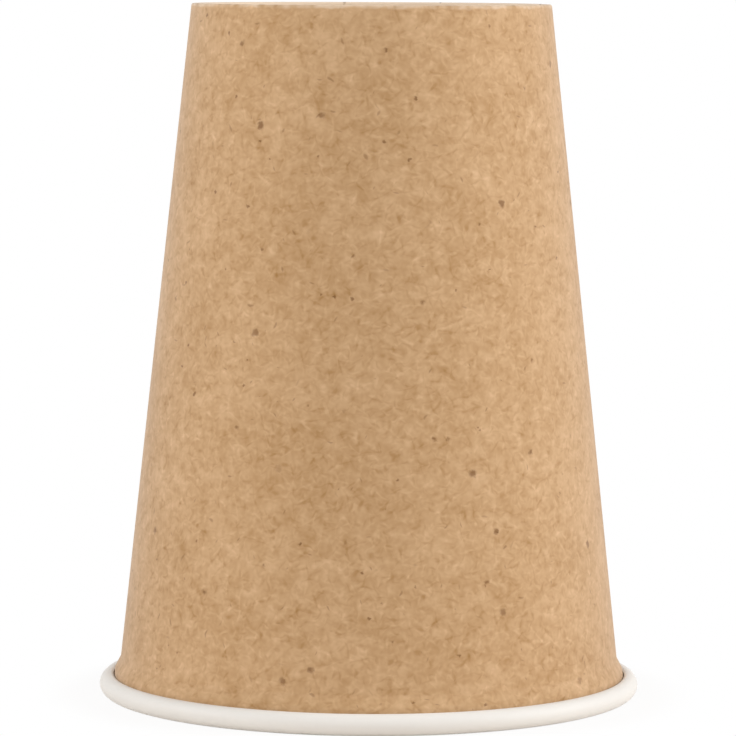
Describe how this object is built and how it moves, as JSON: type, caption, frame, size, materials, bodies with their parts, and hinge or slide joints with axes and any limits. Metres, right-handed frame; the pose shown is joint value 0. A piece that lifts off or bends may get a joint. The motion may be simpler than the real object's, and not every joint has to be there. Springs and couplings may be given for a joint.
{
  "type": "kraft paper cup",
  "caption": "Single-wall paper cup with a kraft outside, white lining, rolled rim, lapped back seam and recessed bottom, standing mouth down.",
  "frame": {"origin": "on the cup's axis, in the plane that the rolled rim rests on", "axes": "+Z along the axis from the mouth to the foot, -Y to the front, the lapped seam at the back (+Y)"},
  "size_m": [0.09, 0.09, 0.115],
  "materials": {
    "kraft_board": "uncoated brown kraft outside, white coated inside",
    "white_board": "white coated"
  },
  "bodies": {
    "root": {"side_wall": "kraft_board", "bottom_disc": "white_board"}
  },
  "joints": []
}
